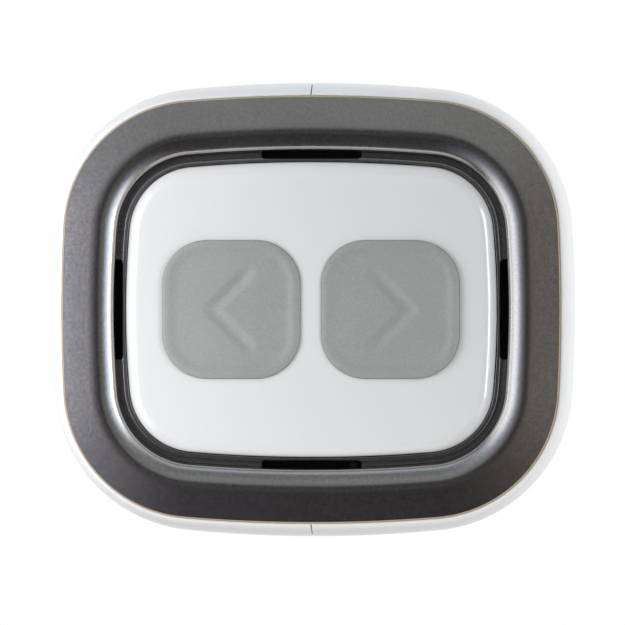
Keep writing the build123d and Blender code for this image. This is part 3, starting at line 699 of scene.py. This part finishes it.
def casing_half(side, name, node):
    """One half shell: side 1 is the right half, side -1 the left."""
    # rows of sections: outer surface from the front lip to the rear hole
    outer = [(grow(BEZEL, 0.075), -95.575), (grow(BEZEL, 0.105), -95.60), (grow(BEZEL, 0.190), -95.60),
             (grow(BEZEL, 0.235), -95.585)]
    for y in (-95.52, -95.40, -95.2, -94.9, -94.5, -94.0, -93.4, -92.7, -91.9, -91.0, -90.0, -88.9, -87.7, -86.4):
        outer.append((flare(y), y))
    for i in range(14):
        outer.append((BODY, -85.0 + 51.0 * i / 14))
    for i in range(26):
        y = -34.0 + 16.6 * i / 25
        outer.append((section(y), y))
    outer += [(grow(NECK, 0.10), -17.22), (grow(NECK, -0.10), -17.10), (grow(NECK, -0.32), -17.02), (grow(NECK, -0.55), -17.0)]
    hole = [(19.2, -17.0), (18.82, -17.0), (18.66, -17.04), (18.55, -17.15), (18.5, -17.35), (18.5, -19.0)]
    inner = []
    for i in range(26):
        y = -19.0 - 15.0 * i / 25
        inner.append((between(NECK_IN, CAVITY, math.sin((y + 19.0) / -15.0 * math.pi / 2)), y))
    for i in range(1, 15):
        inner.append((CAVITY, -34.0 - 51.0 * i / 14))
    inner += [(CAVITY, -88.5), (CAVITY, -92.0), (CAVITY, -95.5), (grow(BEZEL, 0.063), -95.54)]

    seam = [(0.040, 0.30), (0.044, 0.20), (0.058, 0.125), (0.085, 0.065), (0.13, 0.025), (0.19, 0.006), (0.26, 0.0)]

    def row(p, y, is_outer):
        pts = right_side(p, 18, 26, 28)
        a, b, rt, rl, rc = p
        core = pts[1:-1]
        if is_outer:
            head = [(x, b - rt + math.sqrt(rt * rt - x * x) - d) for x, d in seam]
        else:
            head = [(x, b - rt + math.sqrt(rt * rt - x * x)) for x, d in seam]
        pts = head + core + [(x, -z) for x, z in reversed(head)]
        return [(side * x, y, z) for x, z in pts]

    rows = [row(p, y, True) for p, y in outer]
    base = [(x, z) for x, _, z in row(NECK, 0, False)]
    for r, y in hole:
        ring_pts = []
        for x, z in base:
            x = abs(x)
            k = math.hypot(x, z)
            zz = z / k * r
            xx = x / k * r
            if x < 0.3:
                xx, zz = x, math.copysign(math.sqrt(r * r - x * x), z)
            ring_pts.append((side * xx, y, zz))
        rows.append(ring_pts)
    rows += [row(p, y, False) for p, y in inner]
    s = Shape()
    ids = s.rings(rows, closed=False, loop=True)
    s.f.append(tuple(r[0] for r in ids))
    s.f.append(tuple(r[-1] for r in reversed(ids)))
    ob = s.object(name)

    adds = []
    for y, z in BOSS:
        adds.append(tube_along_x(3.0, side * 0.04, side * 29.2, y, z))
    adds.append(block(*sorted((side * 22.0, side * 27.0)), -86.0, -46.0, 14.7, 15.95))
    adds.append(block(*sorted((side * 17.6, side * 20.0)), -21.2, -18.2, -1.9, 1.9))
    carve(ob, adds, "UNION")
    cuts = [opening_cutter(30.0, 22.0, 2.0, -68.0, 1), opening_cutter(31.2, 52.4, 1.5, -59.2, -1)]
    for y, z in BOSS:
        if side < 0:
            cuts.append(tube_along_x(1.9, -35.0, -9.0, y, z))
            cuts.append(tube_along_x(1.1, -10.0, 1.0, y, z))
            s = Shape()
            wall = 29.96
            rows = []
            for x, r in ((-31.0, 2.55), (-wall - 0.10, 2.45), (-wall + 0.02, 2.25), (-wall + 0.14, 2.08), (-wall + 0.30, 1.97), (-wall + 0.5, 1.9), (-28.0, 1.9)):
                rows.append([(x, y + r * math.cos(2 * math.pi * i / 48), z + r * math.sin(2 * math.pi * i / 48)) for i in range(48)])
            ids = s.rings(rows)
            s.f.append(tuple(ids[0]))
            s.f.append(tuple(reversed(ids[-1])))
            cuts.append(s.object("cut"))
        else:
            cuts.append(tube_along_x(0.9, -1.0, 10.0, y, z))
    cuts.append(block(*sorted((side * 27.0, side * 29.05)), -89.7, -88.1, -4.2, 4.2))
    carve(ob, cuts)
    return finish_piece(ob, "body", "casing_white", [node], angle=38)


def surface_plate(name, w, l, r, cy, side, thick, roll):
    """A plate that follows the casing's surface, with a rolled edge."""
    pts = rounded(w, l, r, 8, 18)
    steps = []
    for i in range(7):
        a = math.radians(90 * i / 6)
        steps.append((-roll * (1 - math.sin(a)), roll * (1 - math.cos(a))))
    rim = on_surface(pts, cy, side, [(o, d + 0.0) for o, d in steps] + [(0.0, thick - 0.15), (-0.15, thick)])
    # steps run from the face outwards and down; the face itself is filled by shrinking rings
    first = [(x, y) for x, y, _ in rim[0]]
    fill = []
    for i in range(1, 12):
        k = 1 - i / 12
        row = []
        for x, y in first:
            px, py = x * k, cy + (y - cy) * k
            row.append((px, py, side * crown(px, py)))
        fill.append(row)
    back = []
    last = [(x, y) for x, y, _ in rim[-1]]
    for i in range(1, 6):
        k = 1 - i / 6
        row = []
        for x, y in last:
            px, py = x * k, cy + (y - cy) * k
            row.append((px, py, side * (crown(px, py) - thick)))
        back.append(row)
    s = Shape()
    ids = s.rings(list(reversed(fill)) + rim + back)
    s.fan(ids[0], (0.0, cy, side * crown(0, cy)))
    s.fan(ids[-1], (0.0, cy, side * (crown(0, cy) - thick)))
    return s.object(name)


def groove_cutter(half_len, y, side, r, sink, n=16):
    """A lying capsule that cuts a shallow round groove across the cover."""
    s = Shape()
    rows = []
    for i in range(25):
        x = -half_len + 2 * half_len * i / 24
        e = min(1.0, (half_len - abs(x)) / (1.3 * r))
        k = max(0.02, math.sqrt(max(0.0, 1 - (1 - e) ** 2)))
        zc = crown(x, y) + r - sink
        rows.append([(x, y + r * k * math.cos(2 * math.pi * j / n), side * (zc + r * k * math.sin(2 * math.pi * j / n))) for j in range(n)])
    ids = s.rings(rows)
    s.f.append(tuple(ids[0]))
    s.f.append(tuple(reversed(ids[-1])))
    return s.object("cut")


casing_half(1, "casing_right", "housing_right")
casing_half(-1, "casing_left", "housing_left")

window = surface_plate("top_window", 29.9, 21.9, 1.95, -68.0, 1, 1.75, 0.22)
finish_piece(window, "body", "window_smoke", ["display_window"], angle=40)

cover = surface_plate("battery_door", 30.8, 52.0, 1.3, -59.2, -1, 1.72, 0.28)
adds = []
for sx in (-1, 1):
    for y in (-76.0, -51.0):
        adds.append(block(*sorted((sx * 14.2, sx * 15.3)), y, y + 6.0, -24.9, -21.0))
carve(cover, adds, "UNION")
carve(cover, [groove_cutter(6.4, y, -1, 1.2, 0.45) for y in (-44.8, -42.4, -40.0)])
finish_piece(cover, "cover", "casing_white", ["battery_cover"], angle=38)


# ========================================================== front bezel
def tilt_profile():
    """The bezel's face: its slope against the inset n, summed up into a curve.
    A gentle outward slope, a soft crest at n = 4, then a throat that turns steep."""
    knots = [(0.15, 9.9), (3.1, 9.3), (3.5, 6.2), (3.8, 2.2), (4.0, -0.5), (4.25, -5.5), (4.5, -11.0), (4.8, -15.5),
             (5.1, -19.0), (5.45, -23.85), (5.705, -30.3), (5.865, -38.6), (5.97, -51.0), (6.055, -66.5), (6.12, -81.0),
             (6.18, -88.7)]

    def slope(n):
        for (a, s0), (b, s1) in zip(knots, knots[1:]):
            if n <= b:
                return s0 + (s1 - s0) * (n - a) / (b - a)
        return knots[-1][1]

    ns = [0.15 + 0.275 * i for i in range(10)] + [2.8 + 0.1 * i for i in range(1, 13)]
    n = 4.0
    while n < 6.14:
        n += max(0.012, 0.1 * math.cos(math.radians(slope(n))))
        ns.append(n)
    ns.append(6.165)
    pts = []
    y, last = 0.0, ns[0]
    for n in ns:
        steps = 8
        for k in range(steps):
            m = last + (n - last) * (k + 0.5) / steps
            y -= math.tan(math.radians(slope(m))) * (n - last) / steps
        last = n
        pts.append([n, y])
    low = min(p[1] for p in pts)
    for p in pts:
        p[1] += -97.0 - low
    return [tuple(p) for p in pts]


def build_bezel():
    face = tilt_profile()
    n0, y0 = face[0]
    prof = [(0.0, -92.0), (0.0, -93.5), (0.0, -95.0), (-0.025, y0 + 0.26), (-0.02, y0 + 0.205), (0.125, y0 + 0.004)]
    prof += face
    floor = -93.8
    prof = [p for p in prof if p[1] < floor - 0.25 or p[0] < 5]
    prof += [(6.175, floor - 0.22), (6.207, floor - 0.09), (6.285, floor - 0.01), (6.45, floor), (6.65, floor), (6.82, floor), (6.88, floor - 0.06),
             (6.91, floor - 0.18), (6.91, -94.6), (6.91, -95.11), (6.918, -95.145), (6.94, -95.17), (6.97, -95.184), (7.02, -95.19),
             (7.15, -95.196), (7.27, -95.2), (7.325, -95.2), (7.345, -95.196), (7.362, -95.182), (7.37, -95.155), (7.37, -94.9), (7.37, -94.0), (7.4, -92.0)]
    # the back is closed through a few inner rows
    prof += [(5.5, -92.0), (3.5, -92.0), (1.8, -92.0)]
    rows = []
    for n, y in prof:
        rows.append([(x, y, z) for x, z in full_outline(ring(n), nt=22, nc=30, ns=36)])
    s = Shape()
    # the cut edge along the outside is a thin painted highlight: a warm tan line, brighter than the metal, for the
    # bright colour fringe along this edge
    s.rings(rows, loop=True, mats={3: 1, 4: 1})
    ob = s.object("bezel_ring")
    cuts = []
    for sgn in (-1, 1):
        pts = rounded(11.4, 0.98, 0.45, 8, 6)
        cuts.append(prism([(x, z + sgn * 17.55) for x, z in pts], -95.5, -91.0))
        pts = rounded(0.98, 11.4, 0.45, 8, 6)
        cuts.append(prism([(x + sgn * 21.84, z) for x, z in pts], -95.5, -91.0))
    for sx in (-1, 1):
        for sz in (-1, 1):
            pts = [(sx * 22.4 + 0.75 * math.cos(math.radians(a)), sz * 17.0 + 0.75 * math.sin(math.radians(a))) for a in range(0, 360, 15)]
            cuts.append(prism(pts, -95.0, -91.0))
    carve(ob, cuts)
    finish_piece(ob, "body", "bezel_gunmetal", ["front_bezel"], angle=40, extra=[PAINTED_EDGE_HIGHLIGHT])
    return ob


build_bezel()

# =========================================================== front panel
DOME = 380.0


def dome(x, z):
    return -96.62 + DOME - math.sqrt(DOME * DOME - x * x - z * z)


# slope of the panel's rolled edge in degrees against the distance inside the edge
ROLL = [(0.0, 78.0), (0.05, 60.0), (0.12, 48.0), (0.22, 39.5), (0.36, 33.0), (0.50, 29.0), (0.62, 26.8), (0.88, 24.4),
        (0.98, 20.5), (1.08, 14.5), (1.22, 8.0), (1.45, 3.5), (1.8, 0.0)]


def roll(t):
    """Drop of the rolled edge, t inside the edge."""
    drop, n = 0.0, 60
    if t >= ROLL[-1][0]:
        return 0.0
    h = (ROLL[-1][0] - t) / n
    for i in range(n):
        m = t + (i + 0.5) * h
        for (a, s0), (b, s1) in zip(ROLL, ROLL[1:]):
            if m <= b:
                drop += math.tan(math.radians(s0 + (s1 - s0) * (m - a) / (b - a))) * h
                break
    return drop


def key_hole_cutter(x0):
    pts = rounded(15.66, 15.66, 5.03, 26, 16)
    nrm = outward(pts)
    soft = 0.03
    steps = [(0.0, 3.2), (0.0, soft)]
    for i in range(1, 6):
        a = math.radians(90 * i / 5)
        steps.append((soft * (1 - math.cos(a)), soft * (1 - math.sin(a))))
    steps += [(soft * 2, -0.04), (soft * 2, -2.0)]
    rows = []
    for o, d in steps:
        row = []
        for (x, z), (nx, nz) in zip(pts, nrm):
            px, pz = x0 + x + nx * o, z + nz * o
            row.append((px, dome(px, pz) + d, pz))
        rows.append(row)
    s = Shape()
    ids = s.rings(rows)
    s.fan(ids[0], (x0, -93.0, 0.0))
    s.fan(ids[-1], (x0, -99.0, 0.0))
    return s.object("cut")


def build_panel():
    cnt = dict(nt=22, nc=26, ns=30)
    rows = []
    # back and inside of the skirt, then the skirt, the rolled edge and the dome
    inner = [(1.4, -94.5), (1.4, -93.5), (1.4, -92.2), (1.4, -90.8), (0.0, -90.8), (0.0, -92.5), (0.0, -94.0)]
    for t, y in inner:
        rows.append([(x, y, z) for x, z in full_outline(grow(PANEL, -t), **cnt)])
    ts = [0.0, 0.015, 0.04, 0.08, 0.13, 0.19, 0.27, 0.36, 0.46, 0.56, 0.64, 0.73, 0.82, 0.89, 0.95, 1.01, 1.08, 1.16,
          1.26, 1.38, 1.5, 1.65, 1.8, 2.3, 3.0]
    for i, t in enumerate(ts):
        row = []
        for x, z in full_outline(grow(PANEL, -t), **cnt):
            row.append((x, dome(x, z) + roll(t), z))
        rows.append(row)
    last = full_outline(grow(PANEL, -3.0), **cnt)
    for i in range(1, 16):
        k = 1 - i / 16
        rows.append([(x * k, dome(x * k, z * k), z * k) for x, z in last])
    s = Shape()
    ids = s.rings(rows)
    s.fan(ids[-1], (0.0, dome(0, 0), 0.0))
    back = full_outline(grow(PANEL, -1.4), **cnt)
    prev = ids[0]
    for i in range(1, 5):
        k = 1 - i / 5
        cur = s.add([(x * k, -94.5, z * k) for x, z in back])
        s.strip(prev, cur)
        prev = cur
    s.fan(prev, (0.0, -94.5, 0.0))
    ob = s.object("panel_face")
    cuts = [key_hole_cutter(-9.0), key_hole_cutter(9.0)]
    carve(ob, cuts)
    # flange behind the bezel, in four corner pieces as the notches leave it
    s = Shape()
    rows = []
    for n, y in ((5.6, -92.0), (5.6, -90.8), (8.6, -90.8), (8.6, -92.0)):
        rows.append([(x, y, z) for x, z in full_outline(ring(n) if n < 7 else grow(PANEL, -0.7), **cnt)])
    s.rings(rows, loop=True)
    fl = s.object("flange")
    carve(fl, [block(-8, 8, -93.0, -90.0, -30, 30), block(-30, 30, -93.0, -90.0, -8, 8)])
    carve(ob, [fl], "UNION")
    ob = finish_piece(ob, "body", "panel_white", ["front_panel"], angle=40)
    crease(ob, lambda x, y, z: y < -95.9 and abs(z) < 8.2 and abs(abs(x) - 9.0) < 8.2, 5.0)
    return ob


build_panel()


# =================================================================== keys
def segment_distance(px, pz, ax, az, bx, bz):
    dx, dz = bx - ax, bz - az
    t = max(0.0, min(1.0, ((px - ax) * dx + (pz - az) * dz) / (dx * dx + dz * dz)))
    return math.hypot(px - ax - dx * t, pz - az - dz * t), t


def build_key(x0, direction, name, node, body):
    """A moulded silicone key: soft raised rim, dished face, chevron groove."""
    size, r = 15.6, 5.0
    arm = 5.75
    vx = direction * 2.2
    ex, ez = vx - direction * arm * math.sin(math.radians(45)), arm * math.cos(math.radians(45))

    def face(u, w, t):
        """Height (towards the front) of the face, t inside the outline."""
        edge = 0.75
        h = 0.0
        if t < edge:
            k = 1 - t / edge
            h -= 0.16 * k ** 2.4
        # raised rim, then the dished face
        h -= 0.30 / (1 + math.exp(-(t - 1.12) / 0.20)) if t < 4 else 0.30
        # the groove runs out softly at both ends
        half = 1.12
        deep = 0.0
        for sz in (ez, -ez):
            d, along = segment_distance(u, w, vx, 0, ex, sz)
            if d < half:
                fade = min(1.0, 0.6 + 0.4 * (1 - along) / 0.15)
                deep = max(deep, 0.5 * (1 + math.cos(math.pi * d / half)) * fade)
        h -= 0.40 * deep
        return h

    def lean(x, z):
        """Part of the panel's crown, which the faces follow."""
        return 0.6 * (dome(x, z) - dome(0.0, 0.0))

    pts = rounded(size, size, r, 26, 44)
    nrm = outward(pts)
    rows = []
    steps = [0.0, 0.006, 0.02, 0.045, 0.08, 0.13, 0.19, 0.26, 0.34, 0.43, 0.52, 0.62]
    t = 0.62
    while t < 2.6:
        t += 0.085
        steps.append(t)
    # outline rings, each t inside
    inner_w = size - 2 * steps[-1]
    for t in steps:
        row = []
        for (x, z), (nx, nz) in zip(pts, nrm):
            u, w = x - nx * t, z - nz * t
            row.append((x0 + u, -97.0 - face(u, w, t) + lean(x0 + u, w), w))
        rows.append(row)
    base = [(x - nx * steps[-1], z - nz * steps[-1]) for (x, z), (nx, nz) in zip(pts, nrm)]
    count = 52
    for i in range(1, count):
        k = 1 - i / count
        row = []
        for u, w in base:
            row.append((x0 + u * k, -97.0 - face(u * k, w * k, 5.0) + lean(x0 + u * k, w * k), w * k))
        rows.append(row)
    s = Shape()
    side_rows = []
    for y, t in ((-93.3, -0.9), (-94.35, -0.9), (-94.47, -0.87), (-94.5, -0.8), (-94.5, -0.15), (-94.56, -0.03), (-94.7, 0.0), (-95.5, 0.0), (-96.2, 0.0)):
        row = []
        for (x, z), (nx, nz) in zip(pts, nrm):
            row.append((x0 + x - nx * t, y, z - nz * t))
        side_rows.append(row)
    ids = s.rings(side_rows + rows)
    s.fan(ids[-1], (x0, -97.0 - face(0, 0, 5.0) + lean(x0, 0.0), 0.0))
    prev = ids[0]
    back = [(x + nx * 0.9, z + nz * 0.9) for (x, z), (nx, nz) in zip(pts, nrm)]
    for k in (0.6, 0.3):
        cur = s.add([(x0 + x * k, -93.3, z * k) for x, z in back])
        s.strip(prev, cur)
        prev = cur
    s.fan(prev, (x0, -93.3, 0.0))
    ob = s.object(name)
    return finish_piece(ob, body, "key_grey", [node], angle=50)


build_key(-9.0, -1, "key_pad_left", "button_left", "key_left")
build_key(9.0, 1, "key_pad_right", "button_right", "key_right")


# ============================================================== union nut
def build_nut():
    """Fluted union nut with a real M30 x 1.5 thread in its bore."""
    cols = 24 * 14
    flutes, fr, fc = 24, 1.0, 18.45

    def outer_radius(phi, soft):
        """Radius with scallops; soft scales the scallop's depth."""
        step = 2 * math.pi / flutes
        a = (phi + step / 2) % step - step / 2
        base = 18.0
        s = fc * math.sin(abs(a))
        cut = base
        if s < fr:
            cut = fc * math.cos(a) - math.sqrt(max(0.0, fr * fr - s * s))
        if cut >= base:
            return base
        # round the arris between scallop and rim
        return base - (base - cut) * soft

    phis = [2 * math.pi * i / cols for i in range(cols)]

    def circle(r, y):
        return [(r * math.cos(p), y, r * math.sin(p)) for p in phis]

    def fluted(inset, y, soft=1.0):
        return [((outer_radius(p, soft) - inset) * math.cos(p), y, (outer_radius(p, soft) - inset) * math.sin(p)) for p in phis]

    rows = []
    # outside, from the mouth's edge to the rear edge
    for i in range(6):
        a = math.radians(90 * i / 5)
        rows.append(fluted(0.8 * (1 - math.sin(a)), -0.8 * (1 - math.cos(a)), 1.0))
    for i in range(1, 12):
        rows.append(fluted(0.0, -0.8 - 14.4 * i / 12))
    for i in range(6):
        a = math.radians(90 * i / 5)
        rows.append(fluted(0.8 * (1 - math.cos(a)), -15.2 - 0.8 * math.sin(a)))
    rows += [circle(16.4, -16.0), circle(16.12, -16.0), circle(16.02, -15.95), circle(16.0, -15.8), circle(16.0, -13.2), circle(12.98, -13.2), circle(12.98, -11.15), circle(14.8, -11.15), circle(14.8, -9.25)]
    # helical thread: crest radius 14.19, root 15.05, pitch 1.5
    pitch, crest, root = 1.5, 14.19, 14.98

    def thread(phi, y):
        u = ((y / pitch) + phi / (2 * math.pi)) % 1.0
        d = abs(u - 0.5) * 2  # 1 at the crest line, 0 at the root line
        flank = max(0.0, min(1.0, (d - 0.12) / 0.63))
        return root + (crest - root) * flank

    n = 84
    for i in range(n + 1):
        y = -9.0 + 8.35 * i / n
        fade = min(1.0, (y + 9.0) / 0.5)
        row = []
        for p in phis:
            r = thread(p, y)
            r = 14.8 + (r - 14.8) * fade if fade < 1 else r
            row.append((r * math.cos(p), y, r * math.sin(p)))
        rows.append(row)
    # lead-in chamfer at the mouth
    for k, (r, y) in enumerate(((15.05, -0.45), (15.3, -0.2), (15.6, -0.02), (15.8, 0.0), (16.6, 0.0))):
        rows.append(circle(r, y))
    s = Shape()
    s.rings(rows, loop=True)
    ob = s.object("fluted_nut")
    return finish_piece(ob, "nut", "nut_nickel", ["union_nut"], angle=34)


build_nut()

# ================================================================== stage
build_world()
build_lights()
build_camera()
build_floor()
scene.view_settings.view_transform = "Standard"
scene.view_settings.look = "None"

bpy.context.view_layer.update()
